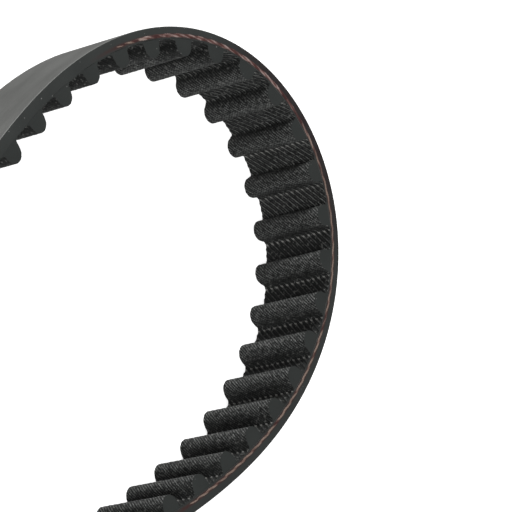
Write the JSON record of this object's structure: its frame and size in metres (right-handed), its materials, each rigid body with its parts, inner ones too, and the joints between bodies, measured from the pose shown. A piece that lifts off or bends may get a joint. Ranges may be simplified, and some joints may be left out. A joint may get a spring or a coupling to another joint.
{
  "type": "timing belt",
  "caption": "Endless rubber timing belt lying on edge as an egg-shaped loop, round teeth inside and a smooth back, for carrying drive between toothed pulleys.",
  "frame": {"origin": "middle of the loop's box, on the surface that the lower cut edge stands on", "axes": "+X along the long way of the loop towards its blunter end, +Y across the loop, +Z along the loop's axis, across the belt's width"},
  "size_m": [0.1148, 0.0702, 0.0144],
  "materials": {
    "backing_rubber": "satin ground rubber, dark grey",
    "tooth_rubber": "matt cut rubber, dark grey",
    "cord": "twisted glass yarn, reddish-brown bonding treatment",
    "facing_cloth": "black woven twill, slightly glossy yarns"
  },
  "bodies": {
    "root": {"backing": "backing_rubber", "cord_s_twist": "cord", "cord_z_twist": "cord", "tooth_01": "tooth_rubber", "tooth_02": "tooth_rubber", "tooth_03": "tooth_rubber", "tooth_04": "tooth_rubber", "tooth_05": "tooth_rubber", "tooth_06": "tooth_rubber", "tooth_07": "tooth_rubber", "tooth_08": "tooth_rubber", "tooth_09": "tooth_rubber", "tooth_10": "tooth_rubber", "tooth_11": "tooth_rubber", "tooth_12": "tooth_rubber", "tooth_13": "tooth_rubber", "tooth_14": "tooth_rubber", "tooth_15": "tooth_rubber", "tooth_16": "tooth_rubber", "tooth_17": "tooth_rubber", "tooth_18": "tooth_rubber", "tooth_19": "tooth_rubber", "tooth_20": "tooth_rubber", "tooth_21": "tooth_rubber", "tooth_22": "tooth_rubber", "tooth_23": "tooth_rubber", "tooth_24": "tooth_rubber", "tooth_25": "tooth_rubber", "tooth_26": "tooth_rubber", "tooth_27": "tooth_rubber", "tooth_28": "tooth_rubber", "tooth_29": "tooth_rubber", "tooth_30": "tooth_rubber", "tooth_31": "tooth_rubber", "tooth_32": "tooth_rubber", "tooth_33": "tooth_rubber", "tooth_34": "tooth_rubber", "tooth_35": "tooth_rubber", "tooth_36": "tooth_rubber", "tooth_facing": "facing_cloth"}
  },
  "joints": []
}
